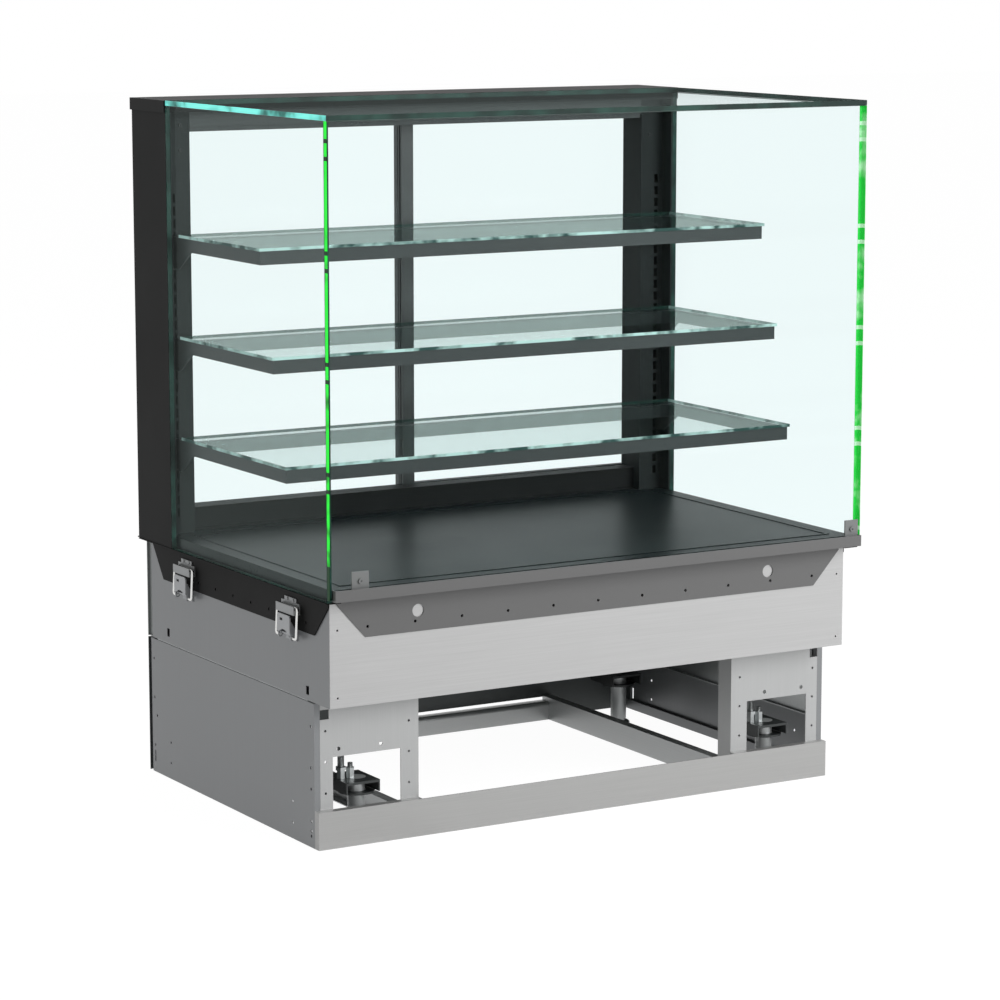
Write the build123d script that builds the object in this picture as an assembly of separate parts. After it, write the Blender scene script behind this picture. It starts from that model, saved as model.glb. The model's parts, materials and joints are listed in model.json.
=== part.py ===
from build123d import *
import math
import os

# Ambient display case for a shop counter: a stainless base on four levelling feet, a stainless
# band with black skirts, a black rear housing with two sliding doors, a frameless glass hood and
# three glass shelves on cantilever brackets. Four over-centre draw latches hold the hood section
# to the band.
# Case frame while modelling: X across, Y from the outer face of the front glass to the back,
# Z up from the floor. Each finished piece is shifted so that the origin is the centre of the
# footprint, on the floor.

# Overall sizes
glass_width = 1207.0
case_height = 1387.0
housing_depth = 158.0
housing_back = 842.0
gap = 0.3
sheet = 2.0

# Glass hood
glass_thickness = 10.0
clamp_width = 36.0
clamp_left_inset = 38.5
clamp_right_inset = 33.5
clamp_top = 547.0
clamp_sheet = 3.0
clamp_screw_z = 529.0
clamp_screw_radius = 5.0

# Body band, front fascia, skirts and deck, with insets counted from the side of the glass
band_inset = 16.5
band_front_y = 33.0
band_side_inset = 23.0
band_back_inset = 1.0
band_bottom = 283.5
band_hole_radius = 2.0
band_hole_inset = 16.0
band_hole_rows = (303.0, 432.0)
band_slot_width = 12.0
band_slot_height = 17.0
band_front_slot = (125.0, 303.0)
band_rear_slot_inset = 76.0
band_rear_slot_z = 306.0
rear_return_recess = 4.0
skirt_bottom = 414.0
skirt_slant_z = 482.0
front_skirt_inset = 13.0
front_skirt_run = 62.0
fascia_inset = 6.0
fascia_front = -13.0
fascia_bottom = 494.0
fascia_top = 516.0
fascia_sheet = 1.5
front_hole_pitch = 101.6
front_hole_count = 11
front_hole_z = 434.0
port_inset = 187.0
port_z = 454.0
port_radius = 12.5
ledge_top = 489.5
ledge_over = 1.5
ledge_width = 75.0
side_skirt_low_front = 92.0
side_skirt_low_inset = 85.0
side_skirt_high_front = 31.0
side_skirt_high_inset = 35.0
side_hole_first = 124.0
side_hole_pitch = 77.8
side_hole_count = 7
side_hole_z = 433.0
skirt_hole_radius = 3.0
deck_top = 513.0
deck_sheet = 2.5
deck_rim_inset = 34.0
deck_rim_height = 1.2

# Base, with the bay laid out from its inner end
base_front = 100.0
base_seam = 2.5
base_flange = 12.0
base_lip_height = 20.0
base_side_inset = 16.0
kick_front = 83.0
kick_height = 73.0
bay_width = 225.0
bay_return = 46.0
window_inset = 39.0
window_width = 146.5
window_z = (45.0, 174.0)
bay_hole_inset = 21.0
bay_hole_spacing = 180.0
bay_hole_rows = (105.0, 166.0, 226.0)
bay_hole_radius = 2.5
bay_bolt_inset = 82.0
bay_bolt_spacing = 91.0
bay_bolt_z = 189.0
bay_bolt_radius = 4.0
bay_square = 19.0
bay_square_inset = 203.0
bay_square_z = 258.0
edge_hole_rows = (22.0, 32.0, 51.0, 114.0, 155.0, 235.0)
edge_hole_y = 114.0
edge_hole_radius = 3.0
rear_hole_inset = 12.0
rear_hole_rows = (240.0, 158.0, 57.0)
rear_slot_width = 6.0
rear_slot_z = (22.0, 46.0)
front_side_holes = ((192.0, 74.0), (192.0, 31.0))
rear_side_holes = ((24.0, 121.0), (88.0, 77.0), (88.0, 34.0))
rail_step = 3.0
rail_height = 49.0
rail_flange = 20.0
rear_rail_height = 40.0
rear_rail_depth = 28.0
rear_rail_radius = 9.0
rear_panel_bottom = 46.0
rear_panel_return = 23.0
stiffener_bottom = 118.3
stiffener_lip = 9.0
stiffener_front = 130.0
stiffener_back_inset = 26.0
pan_sheet = 2.0

# Levelling feet
leg_inset = 113.0
leg_front = 145.0
leg_back_inset = 126.0
leg_plate_reach = 46.0
spindle_radius = 8.0
spindle_clearance = 0.05
spindle_top = 106.0
leg_plate_right = 29.0
leg_plate_left = 43.5
leg_plate_z = (95.0, 118.0)
leg_plate_sheet = 5.0
boss_radius = 17.0
boss_bottom = 14.0
boss_flange_radius = 36.0
boss_flange_top = 93.0
boss_flange_height = 4.0
pad_radius = 25.0
pad_height = 8.0
foot_lift = 0.5
foot_hexagon_flats = 26.0
foot_hexagon_height = 4.5
rod_offset = 33.0
rod_radius = 6.5
shank_flats = 14.5
shank_height = 17.0
jam_nut_flats = 19.0
jam_nut_height = 6.0
bolt_offset = 13.0
bolt_radius = 5.0
bolt_top = 147.0
bolt_nut_flats = 15.0
bolt_nut_height = 20.0

# Rear housing, with widths counted from the side of the glass and heights down from the cap
cap_height = 24.0
cap_overhang = 3.0
post_wall = 13.5
post_width = 68.0
post_face_inset = 33.0
post_depth = 71.0
post_flange = 18.0
foot_lip = 6.0
header_height = 41.0
header_lip = 9.0
sill_depth = 42.0
sill_rise = 39.0
sill_lap = 6.0
track_rise = 31.5
slot_inset = 16.0
slot_width = 9.0
slot_height = 18.0
slot_pitch = 25.4
slot_lowest = 556.0
slot_free_top = 130.0
post_screw_drops = (27.0, 77.0)
post_screw_inset = 34.0
post_screw_radius = 4.0

# Sliding doors
door_stile = 28.0
door_depth = 15.0
door_clear = 1.0
door_step = 18.0
door_side_room = 6.0
door_overlap = 28.0
door_lift = 1.0
door_top_room = 13.0
door_glass = 5.0
door_bite = 8.0
groove_width = 6.0
groove_depth = 9.0
rib_width = 4.0
rib_height = 7.0

# Shelves
shelf_first_rise = 159.5
shelf_slots_apart = 8
shelf_front_first = 222.0
shelf_front_step = 50.0
shelf_count = 3
shelf_side_play = 0.5
shelf_rear_rail_inset = 51.0
shelf_rail_height = 26.5
shelf_sheet = 2.5
shelf_flange = 16.0
shelf_glass = 6.0
shelf_glass_over = 4.0
shelf_glass_room = 8.0
bracket_taper_run = 57.0
bracket_taper_reach = 1.0
bracket_drop = 38.0
hook_depth = 3.5
hook_nose = 5.0
hook_tab = 12.0

# Draw latches, with their own stand-off measured outward from the band
latch_front = 185.0
latch_back_inset = 199.0
latch_plate_half = 22.0
latch_plate_z = (390.0, 412.0)
latch_sheet = 2.5
pivot_z = 404.0
pivot_out = 12.0
pin_radius = 2.5
crank = 6.0
crank_lean = 10.0
ear_y = 20.0
ear_radius = 4.0
ear_stem = 3.5
lever_half = 26.0
lever_start = 2.0
lever_top = 441.0
lever_out = 17.0
lever_arch = 26.0
lever_arch_drop = 18.0
wire_radius = 3.0
loop_half = 41.0
keeper_half = 37.0
keeper_middle = 24.0
keeper_bottom = 443.5
keeper_shoulder = 464.0
keeper_top = 472.0
keeper_floor = 453.0
keeper_out = 16.5
keeper_lip = 7.0
bar_out = 10.0

# Derived places
housing_front = housing_back - housing_depth
post_face = housing_front + post_face_inset
post_back = post_face + post_depth
sill_back = post_back - sill_lap
sill_front = sill_back - sill_depth
track_level = ledge_top + track_rise
sill_top = track_level + sill_rise
door_front = post_back + door_clear
door_bottom = track_level + door_lift
band_back = housing_back - band_back_inset
band_side_back = band_back - band_side_inset
band_slots = (band_front_slot, (band_side_back - band_rear_slot_inset, band_rear_slot_z))
side_skirt_low = (side_skirt_low_front, housing_back - side_skirt_low_inset)
side_skirt_high = (side_skirt_high_front, housing_back - side_skirt_high_inset)
base_side_back = housing_back - base_side_inset
rear_hole_y = base_side_back - rear_hole_inset
side_holes = [(base_side_back - inset, level) for inset, level in rear_side_holes] + list(front_side_holes)
stiffener_reach = (stiffener_front, base_side_back - stiffener_back_inset)
leg_places = (leg_front, base_side_back - leg_back_inset)
latch_places = (latch_front, housing_back - latch_back_inset)
shelf_rear_rail = housing_front - shelf_rear_rail_inset
shelf_glass_back = housing_front - shelf_glass_room
bracket_taper = (housing_front + bracket_taper_reach - bracket_taper_run, housing_front + bracket_taper_reach)
half = glass_width / 2
side_inner = half - glass_thickness
band_half = half - band_inset
fascia_half = half - fascia_inset
ledge_half = half + ledge_over
ledge_inner = ledge_half - ledge_width
band_hole_x = band_half - band_hole_inset
front_skirt_high = band_half - front_skirt_inset
front_skirt_low = front_skirt_high - front_skirt_run
port_x = band_half - port_inset
clamp_spans = ((-fascia_half + clamp_left_inset, -fascia_half + clamp_left_inset + clamp_width),
               (fascia_half - clamp_right_inset, fascia_half - fascia_sheet - gap))
bay_inner = band_half - bay_width
window_x = (bay_inner + window_inset, bay_inner + window_inset + window_width)
bay_hole_columns = (bay_inner + bay_hole_inset, bay_inner + bay_hole_inset + bay_hole_spacing)
bay_bolt_columns = (bay_inner + bay_bolt_inset, bay_inner + bay_bolt_inset + bay_bolt_spacing)
bay_square_x = bay_inner + bay_square_inset
rail_half = bay_inner + rail_step
base_top = band_bottom - base_seam
leg_x = band_half - leg_inset
cap_bottom = case_height - cap_height
header_bottom = cap_bottom - header_height
door_top = cap_bottom - door_top_room
post_wall_x = half - post_wall
post_inner = half - post_width
post_flange_x = post_wall_x - post_flange
post_screw_x = post_wall_x - post_screw_inset
post_screws = [cap_bottom - drop for drop in post_screw_drops]
slot_x = post_wall_x - slot_inset
slot_count = int((header_bottom - slot_free_top - slot_lowest) / slot_pitch) + 1
slot_levels = [slot_lowest + slot_pitch * i for i in range(slot_count)]
door_half_reach = post_wall_x - door_side_room
shelf_half = slot_x + slot_width / 2 - shelf_side_play
shelf_tops = [slot_lowest + shelf_first_rise + slot_pitch * shelf_slots_apart * i for i in range(shelf_count)]
shelf_fronts = [shelf_front_first + shelf_front_step * i for i in range(shelf_count)]
glass_seat = ledge_top + gap
skirt_back = band_front_y - gap
skirt_front = skirt_back - sheet
side_skirt_out = band_half + gap + sheet
web_top = fascia_bottom + fascia_sheet
back_reach = housing_back + foot_lip
origin_y = (back_reach + fascia_front) / 2
bar_z = keeper_floor + wire_radius + gap


def box(x, y, z):
    """A block between three pairs of limits."""
    size = [abs(p[1] - p[0]) for p in (x, y, z)]
    mid = [(p[0] + p[1]) / 2 for p in (x, y, z)]
    return Pos(*mid) * Box(*size)


def rod_z(x, y, z, radius):
    return Pos(x, y, (z[0] + z[1]) / 2) * Cylinder(radius, z[1] - z[0])


def rod_y(x, y, z, radius):
    return Pos(x, (y[0] + y[1]) / 2, z) * Rot(90, 0, 0) * Cylinder(radius, abs(y[1] - y[0]))


def rod_x(x, y, z, radius):
    return Pos((x[0] + x[1]) / 2, y, z) * Rot(0, 90, 0) * Cylinder(radius, abs(x[1] - x[0]))


def prism_z(points, z):
    """An outline seen from above, raised between two heights."""
    face = make_face(Polyline(*[(p[0], p[1], z[0]) for p in points], close=True))
    return extrude(face, amount=z[1] - z[0], dir=(0, 0, 1))


def prism_x(points, x):
    """An outline in the side view, each point Y then Z, drawn out along X."""
    face = make_face(Polyline(*[(x[0], p[0], p[1]) for p in points], close=True))
    return extrude(face, amount=x[1] - x[0], dir=(1, 0, 0))


def prism_y(points, y):
    """An outline in the front view, each point X then Z, drawn out along Y."""
    face = make_face(Polyline(*[(p[0], y[0], p[1]) for p in points], close=True))
    return extrude(face, amount=y[1] - y[0], dir=(0, 1, 0))


def flip(shape):
    """The same piece on the other side of the case."""
    return mirror(shape, about=Plane.YZ)


# Base of the case
def base_side(side):
    """Side sheet with a front flange and a foot that turns up along its inner edge."""
    deep = (base_front, base_side_back)
    inner = band_half - base_flange
    part = box((band_half - sheet, band_half), deep, (0, base_top))
    part += box((inner, band_half), (base_front, base_front + sheet), (0, base_top))
    part += box((inner, band_half), deep, (0, sheet))
    part += box((inner, inner + sheet), deep, (0, base_lip_height))
    part -= box((band_half - sheet - 1, band_half + 1),
                (rear_hole_y - rear_slot_width / 2, rear_hole_y + rear_slot_width / 2), rear_slot_z)
    holes = [(edge_hole_y, row) for row in edge_hole_rows] + [(rear_hole_y, row) for row in rear_hole_rows]
    holes += list(side_holes)
    for y, z in holes:
        part -= rod_x((band_half - sheet - 1, band_half + 1), y, z, edge_hole_radius)
    return part if side > 0 else flip(part)


def bay_panel(side):
    outer = band_half - base_flange - gap
    part = box((bay_inner, outer), (base_front, base_front + sheet), (0, band_bottom))
    part += box((bay_inner, bay_inner + sheet), (base_front, base_front + bay_return),
                (rail_height + gap, band_bottom))
    part -= box(window_x, (base_front - 1, base_front + 5), window_z)
    for column in bay_hole_columns:
        for row in bay_hole_rows:
            part -= rod_y(column, (base_front - 1, base_front + 4), row, bay_hole_radius)
    for column in bay_bolt_columns:
        part -= rod_y(column, (base_front - 1, base_front + 4), bay_bolt_z, bay_bolt_radius)
    size = bay_square / 2
    part -= box((bay_square_x - size, bay_square_x + size), (base_front - 1, base_front + 4),
                (bay_square_z - size, bay_square_z + size))
    return part if side > 0 else flip(part)


def kick_band():
    back = base_front - gap
    part = box((-band_half, band_half), (kick_front, kick_front + sheet), (0, kick_height))
    for side in (-1, 1):
        part += box((side * bay_inner, side * band_half), (kick_front, back),
                    (kick_height - sheet, kick_height))
        part += box((side * band_half, side * (band_half - sheet)), (kick_front, back), (0, kick_height))
    return part


def inner_rail(side):
    back = band_back - sheet - gap
    part = box((rail_half - sheet, rail_half), (base_front + sheet + gap, back), (0, rail_height))
    part += box((rail_half - sheet, rail_half + rail_flange), (base_front + sheet + gap, back), (0, sheet))
    part += box((rail_half - sheet, rail_half + rail_flange), (base_front + sheet + gap, back),
                (rail_height - sheet, rail_height))
    return part if side > 0 else flip(part)


def rear_rail():
    reach = rail_half - sheet - gap
    back = band_back - sheet - gap
    part = box((-reach, reach), (back - rear_rail_depth, back), (0, rear_rail_height))
    edge = part.edges().filter_by(Axis.X).group_by(Axis.Z)[-1].sort_by(Axis.Y)[0]
    return fillet(edge, rear_rail_radius)


def rear_base_panel():
    """Back sheet with a leg at each end and a return that lies inside the side sheet."""
    back = (band_back - sheet, band_back)
    part = box((-band_half, band_half), back, (rear_panel_bottom, base_top))
    recess = band_half - rear_return_recess
    for side in (-1, 1):
        part += box((side * band_half, side * (rail_half + rail_flange + gap)), back,
                    (0, rear_panel_bottom + 1))
        part += box((side * recess, side * (recess - sheet)), (band_back - rear_panel_return, band_back),
                    (sheet + gap, base_top))
    return part


def stiffener(side):
    """Doubler inside the side sheet with a small lip along its lower edge."""
    outer = band_half - sheet - gap
    part = box((outer - sheet, outer), stiffener_reach, (stiffener_bottom, band_bottom - gap))
    part += box((outer - stiffener_lip, outer), stiffener_reach, (stiffener_bottom, stiffener_bottom + sheet))
    return part if side > 0 else flip(part)


def body_pan():
    reach = band_half - sheet - gap
    return box((-reach, reach), (band_front_y + sheet + gap, band_back - sheet - gap),
               (band_bottom + gap, band_bottom + gap + pan_sheet))


# Levelling feet
def leveller_bracket(side, y):
    """Folded plate under the body with a long threaded sleeve for the foot."""
    x = side * leg_x
    low, high = leg_plate_z
    right, left = x + leg_plate_right, x - leg_plate_left
    at_front = y == leg_places[0]
    near = base_front + sheet + gap if at_front else y - leg_plate_reach
    ys = (near, y + leg_plate_reach)
    part = box((left, right), ys, (high - leg_plate_sheet, high))
    part += box((left, left + 3), ys, (low, high))
    part += box((right - 3, right), ys, (low, high))
    part += rod_z(x, y, (boss_bottom, high - 1), boss_radius)
    part += rod_z(x, y, (boss_flange_top - boss_flange_height, boss_flange_top), boss_flange_radius)
    return part - rod_z(x, y, (boss_bottom - 1, high - leg_plate_sheet), spindle_radius + spindle_clearance)


def hexagon_nut(x, y, bottom, height, flats, bore):
    corner = flats / math.sqrt(3)
    points = [(x + corner * math.cos(math.radians(60 * i)), y + corner * math.sin(math.radians(60 * i)))
              for i in range(6)]
    part = prism_z(points, (bottom, bottom + height))
    if bore:
        part -= rod_z(x, y, (bottom - 1, bottom + height + 1), bore)
    return part


def leveller_rods():
    """On each bracket a tall threaded rod up to the pan, and a short bolt, both on the left of the sleeve."""
    found = []
    top = leg_plate_z[1]
    for side in (-1, 1):
        for y in leg_places:
            found.append(rod_z(side * leg_x - rod_offset, y, (top, band_bottom), rod_radius))
            found.append(rod_z(side * leg_x - bolt_offset, y, (top, bolt_top), bolt_radius))
    return found


def leveller_nuts():
    """A long shank nut with a jam nut on the rod, and one nut on the bolt."""
    found = []
    top = leg_plate_z[1]
    for side in (-1, 1):
        for y in leg_places:
            x = side * leg_x - rod_offset
            bore = rod_radius + spindle_clearance
            found.append(hexagon_nut(x, y, top, shank_height, shank_flats, bore))
            found.append(hexagon_nut(x, y, top + shank_height, jam_nut_height, jam_nut_flats, bore))
            found.append(hexagon_nut(side * leg_x - bolt_offset, y, top, bolt_nut_height, bolt_nut_flats,
                                     bolt_radius + spindle_clearance))
    return found


def levelling_foot(x, y):
    pad = rod_z(x, y, (foot_lift, foot_lift + pad_height), pad_radius)
    pad = chamfer(pad.edges().group_by(Axis.Z)[-1], 3)
    part = pad + rod_z(x, y, (foot_lift + pad_height - 1, spindle_top), spindle_radius)
    return part + hexagon_nut(x, y, foot_lift + pad_height - 0.5, foot_hexagon_height, foot_hexagon_flats, 0)


# Band, skirts and deck
def front_hole_places():
    return [front_hole_pitch * (i - (front_hole_count - 1) / 2) for i in range(front_hole_count)]


def side_hole_places():
    return [side_hole_first + side_hole_pitch * i for i in range(side_hole_count)]


def band_front():
    part = box((-band_half, band_half), (band_front_y, band_front_y + sheet),
               (band_bottom + gap, ledge_top - sheet - gap))
    for side in (-1, 1):
        for row in band_hole_rows:
            part -= rod_y(side * band_hole_x, (band_front_y - 1, band_front_y + 3), row, band_hole_radius)
    for x in front_hole_places():
        part -= rod_y(x, (band_front_y - 1, band_front_y + sheet + 1), front_hole_z, skirt_hole_radius)
    return part


def band_side(side):
    part = box((band_half - sheet, band_half), (band_front_y + sheet, band_side_back),
               (band_bottom + gap, ledge_top - sheet - gap))
    wide, tall = band_slot_width / 2, band_slot_height / 2
    for y, z in band_slots:
        part -= box((band_half - sheet - 1, band_half + 1), (y - wide, y + wide), (z - tall, z + tall))
    for y in side_hole_places():
        part -= rod_x((band_half - sheet - 1, band_half + 1), y, side_hole_z, skirt_hole_radius)
    return part if side > 0 else flip(part)


def band_rear():
    low, high = band_bottom + gap, ledge_top - sheet - gap
    part = box((-band_half, band_half), (band_back - sheet, band_back), (low, high))
    outer = band_half - rear_return_recess
    for side in (-1, 1):
        part += box((side * outer, side * (outer - sheet)), (band_side_back - 12, band_back),
                    (low + pan_sheet + gap, high))
    return part


def front_apron():
    full = (-fascia_half, fascia_half)
    part = box(full, (fascia_front, fascia_front + fascia_sheet), (fascia_bottom, fascia_top))
    part += box(full, (fascia_front, glass_thickness), (fascia_bottom, web_top))
    for side in (-1, 1):
        ends = (side * fascia_half, side * (fascia_half - fascia_sheet))
        part += box(ends, (fascia_front, -gap), (fascia_bottom, fascia_top))
    part += box((-front_skirt_high, front_skirt_high), (0, skirt_back), (fascia_bottom, web_top))
    right = [(front_skirt_low, skirt_bottom), (front_skirt_high, skirt_slant_z), (front_skirt_high, web_top)]
    outline = right + [(-x, z) for x, z in reversed(right)]
    part += prism_y(outline, (skirt_front, skirt_back))
    span = (skirt_front - 1, skirt_back + 1)
    for x in front_hole_places():
        part -= rod_y(x, span, front_hole_z, skirt_hole_radius)
    for side in (-1, 1):
        part -= rod_y(side * port_x, span, port_z, port_radius)
    return part


def side_apron(side):
    low, high = side_skirt_low, side_skirt_high
    under = ledge_top - sheet
    outline = [(low[0], skirt_bottom), (low[1], skirt_bottom), (high[1], skirt_slant_z), (high[1], under + 1),
               (high[0] + 3, under + 1), (high[0] + 3, skirt_slant_z - 6)]
    part = prism_x(outline, (side_skirt_out - sheet, side_skirt_out))
    part += box((ledge_inner, ledge_half), (glass_thickness + gap, housing_back - 2), (under, ledge_top))
    for y in side_hole_places():
        part -= rod_x((side_skirt_out - 3, side_skirt_out + 1), y, side_hole_z, skirt_hole_radius)
    part -= box((0, front_skirt_high + gap), (0, skirt_back + gap), (under - 5, ledge_top + 5))
    return part if side > 0 else flip(part)


def deck_outline(inset):
    a = side_inner - gap - inset
    b = post_wall_x - gap - inset
    c = post_inner - gap - inset
    front = glass_thickness + gap + inset
    first = housing_front - gap - inset
    second = post_face - gap - inset
    back = sill_front - gap - inset
    right = [(a, front), (a, first), (b, first), (b, second), (c, second), (c, back)]
    return right + [(-x, y) for x, y in reversed(right)]


def deck():
    part = prism_z(deck_outline(0), (glass_seat, deck_top))
    part -= prism_z(deck_outline(deck_sheet), (glass_seat - 1, deck_top - deck_sheet))
    part -= box((-half, half), (0, skirt_back + gap), (glass_seat - 1, web_top + gap))
    rim = prism_z(deck_outline(deck_rim_inset), (deck_top - 0.5, deck_top + deck_rim_height))
    rim -= prism_z(deck_outline(deck_rim_inset + 6), (deck_top - 1, deck_top + deck_rim_height + 1))
    return part + rim


# Glass hood
def glass_top():
    return box((-half, half), (0, housing_front - gap), (case_height - glass_thickness, case_height))


def glass_front():
    return box((-half, half), (0, glass_thickness), (web_top + gap, case_height - glass_thickness - gap))


def glass_side(side):
    part = box((side_inner, half), (glass_thickness + gap, housing_front - gap),
               (glass_seat, case_height - glass_thickness - gap))
    return part if side > 0 else flip(part)


def glass_clamps():
    found = []
    for foot in clamp_spans:
        part = box(foot, (fascia_front + fascia_sheet + gap, -gap), (web_top, web_top + clamp_sheet))
        part += box(foot, (-clamp_sheet - gap, -gap), (web_top, clamp_top))
        middle = (foot[0] + foot[1]) / 2
        screw = rod_y(middle, (-clamp_sheet - gap - 3, -clamp_sheet - gap), clamp_screw_z, clamp_screw_radius)
        screw -= rod_y(middle, (-clamp_sheet - gap - 4, -clamp_sheet - gap - 1.5), clamp_screw_z, 2.2)
        found.append(part + screw)
    return found


# Rear housing
def post(side):
    z = (glass_seat, cap_bottom - gap)
    wall = prism_z([(post_wall_x, housing_front), (half, housing_front), (half, housing_back),
                    (post_flange_x, housing_back), (post_flange_x, housing_back - sheet),
                    (post_wall_x, housing_back - sheet)], z)
    wall -= box((post_wall_x + sheet, half - sheet), (housing_front + sheet, housing_back - sheet),
                (z[0] - 1, z[1] - sheet))
    wall += box((post_wall_x - 3, half), (housing_back - 1, back_reach), (z[0], z[0] + sheet))
    tube = box((post_inner, post_wall_x + 0.5), (post_face, post_back), z)
    tube -= box((post_inner + sheet, post_wall_x - sheet), (post_face + sheet, post_back - sheet),
                (z[0] - 1, z[1] - sheet))
    part = wall + tube
    part -= box((post_flange_x - 1, post_wall_x), (housing_back - sheet - 1, housing_back + 1),
                (z[0] - 1, track_level + gap))
    cuts = [box((slot_x - slot_width / 2, slot_x + slot_width / 2), (post_face - 1, post_face + sheet + 1),
                (level - slot_height / 2, level + slot_height / 2)) for level in slot_levels]
    part = part - cuts
    return part if side > 0 else flip(part)


def header():
    reach = post_inner - gap
    top = cap_bottom - gap
    step = header_bottom + header_lip
    back = post_back - 4
    outline = [(post_face, step), (post_face, top), (back, top), (back, top - sheet),
               (post_face + sheet, top - sheet), (post_face + sheet, step + sheet),
               (post_face + 6, step + sheet), (post_face + 6, header_bottom + sheet),
               (back, header_bottom + sheet), (back, header_bottom), (post_face + 4, header_bottom),
               (post_face + 4, step)]
    return prism_x(outline, (-reach, reach))


def top_cap():
    reach = half + cap_overhang
    back = housing_back + cap_overhang
    part = box((-reach, reach), (housing_front, back), (cap_bottom, case_height))
    part -= box((-reach + sheet, reach - sheet), (housing_front + sheet, back - sheet),
                (cap_bottom - 1, case_height - sheet))
    return part + cap_ribs(reach)


def cap_ribs(reach):
    """Two stays inside the cap that rest on the posts and the header."""
    part = None
    for y in (housing_front + 40, housing_back - 40):
        stay = box((-reach + 1, reach - 1), (y - sheet, y), (cap_bottom, case_height - 1))
        part = stay if part is None else part + stay
    return part


def sill():
    reach = post_inner - gap
    back = housing_back - sheet - gap - 1
    low = glass_seat
    tail = [(back, track_level), (back, low + sheet), (back_reach, low + sheet), (back_reach, low),
            (back - sheet, low), (back - sheet, track_level - sheet)]
    outline = [(sill_front, low), (sill_front, sill_top), (sill_back, sill_top)]
    outline += [(sill_back, track_level)] + tail
    outline += [(sill_back - sheet, track_level - sheet), (sill_back - sheet, sill_top - sheet),
                (sill_front + sheet, sill_top - sheet), (sill_front + sheet, low)]
    part = prism_x(outline, (-reach, reach))
    wide = post_wall_x - gap
    rear = [(post_back + gap, track_level)] + tail + [(post_back + gap, track_level - sheet)]
    for side in (-1, 1):
        part += prism_x(rear, sorted((side * (reach - 1), side * wide)))
    lip = box((-reach, reach), (sill_front - 3, sill_front + 1), (deck_top + gap, deck_top + gap + 4))
    part -= box((post_wall_x - 4, half), (housing_back - 3, back_reach + 1), (low - 1, low + sheet + 1))
    part -= box((-half, -post_wall_x + 4), (housing_back - 3, back_reach + 1), (low - 1, low + sheet + 1))
    return part + lip


def door_lines():
    return [door_front + door_depth / 2, door_front + door_step + door_depth / 2]


def track(bottom):
    """A flat strip with one rib for each door."""
    reach = post_wall_x - gap
    if bottom:
        base = (track_level, track_level + 0.8)
        tip = (track_level, track_level + rib_height)
    else:
        base = (cap_bottom - gap - 4, cap_bottom - gap)
        tip = (door_top - rib_height, cap_bottom - gap)
    part = box((-reach, reach), (post_back + gap + 0.5, housing_back - sheet - gap - 2), base)
    for line in door_lines():
        part += box((-reach, reach), (line - rib_width / 2, line + rib_width / 2), tip)
    return part


def door_frame(side):
    """Left door in front, right door behind, each a frame with a groove for the pane and the tracks."""
    y = door_front if side < 0 else door_front + door_step
    x = (-door_half_reach, door_overlap / 2) if side < 0 else (-door_overlap / 2, door_half_reach)
    ys = (y, y + door_depth)
    part = box(x, ys, (door_bottom + 0.3, door_top))
    part -= box((x[0] + door_stile, x[1] - door_stile), (y - 1, y + door_depth + 1),
                (door_bottom + door_stile + 8, door_top - door_stile - 4))
    middle = y + door_depth / 2
    pane = door_glass / 2 + 0.02
    part -= box((x[0] + door_stile - door_bite, x[1] - door_stile + door_bite),
                (middle - pane, middle + pane),
                (door_bottom + door_stile + 8 - door_bite, door_top - door_stile - 4 + door_bite))
    groove = (middle - groove_width / 2, middle + groove_width / 2)
    part -= box((x[0] - 1, x[1] + 1), groove, (door_bottom, door_bottom + groove_depth))
    part -= box((x[0] - 1, x[1] + 1), groove, (door_top - groove_depth, door_top + 1))
    return part


def door_pane(side):
    y = door_front if side < 0 else door_front + door_step
    x = (-door_half_reach, door_overlap / 2) if side < 0 else (-door_overlap / 2, door_half_reach)
    middle = y + door_depth / 2
    bite = door_bite - 0.1
    return box((x[0] + door_stile - bite, x[1] - door_stile + bite),
               (middle - door_glass / 2, middle + door_glass / 2),
               (door_bottom + door_stile + 8 - bite, door_top - door_stile - 4 + bite))


# Shelves
def hook_levels(top):
    low = top - shelf_rail_height - bracket_drop
    reach = slot_height / 2
    return [level for level in slot_levels if level - reach - hook_nose > low and level + reach < top]


def shelf_frame(index):
    top = shelf_tops[index] - shelf_glass
    front = shelf_fronts[index]
    low = top - shelf_rail_height
    full = (-shelf_half, shelf_half)
    shelf = (top - shelf_sheet, top)
    part = box(full, (front, front + shelf_sheet), (low, top))
    part += box(full, (front, front + shelf_flange), shelf)
    part += box(full, (shelf_rear_rail, shelf_rear_rail + shelf_sheet), (low, top))
    part += box(full, (shelf_rear_rail, shelf_rear_rail + shelf_flange), shelf)
    deep = low - bracket_drop
    outline = [(front, low), (bracket_taper[0], low), (bracket_taper[1], deep), (post_face - gap, deep),
               (post_face - gap, top), (front, top)]
    for side in (-1, 1):
        span = sorted((side * (shelf_half - shelf_sheet), side * shelf_half))
        part += prism_x(outline, span)
        part += box((side * shelf_half, side * (shelf_half - shelf_flange)),
                    (front, shelf_rear_rail + shelf_flange), shelf)
        for level in hook_levels(top):
            seat = level - slot_height / 2 + gap
            part += box(span, (post_face - gap - 1, post_face + sheet + gap + hook_depth),
                        (seat, seat + hook_tab))
            part += box(span, (post_face + sheet + gap, post_face + sheet + gap + hook_depth),
                        (seat - hook_nose, seat + hook_tab))
    return part


def shelf_pane(index):
    top = shelf_tops[index]
    over = shelf_glass_over
    return box((-shelf_half - over, shelf_half + over), (shelf_fronts[index] - over, shelf_glass_back),
               (top - shelf_glass, top))


# Draw latches, made at the right side around the latch centre and then placed
def out(distance):
    return band_half + distance


def pivot_place():
    return (out(pivot_out), pivot_z)


def loop_pin_place():
    lean = math.radians(crank_lean)
    return (out(pivot_out) + crank * math.sin(lean), pivot_z - crank * math.cos(lean))


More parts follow.
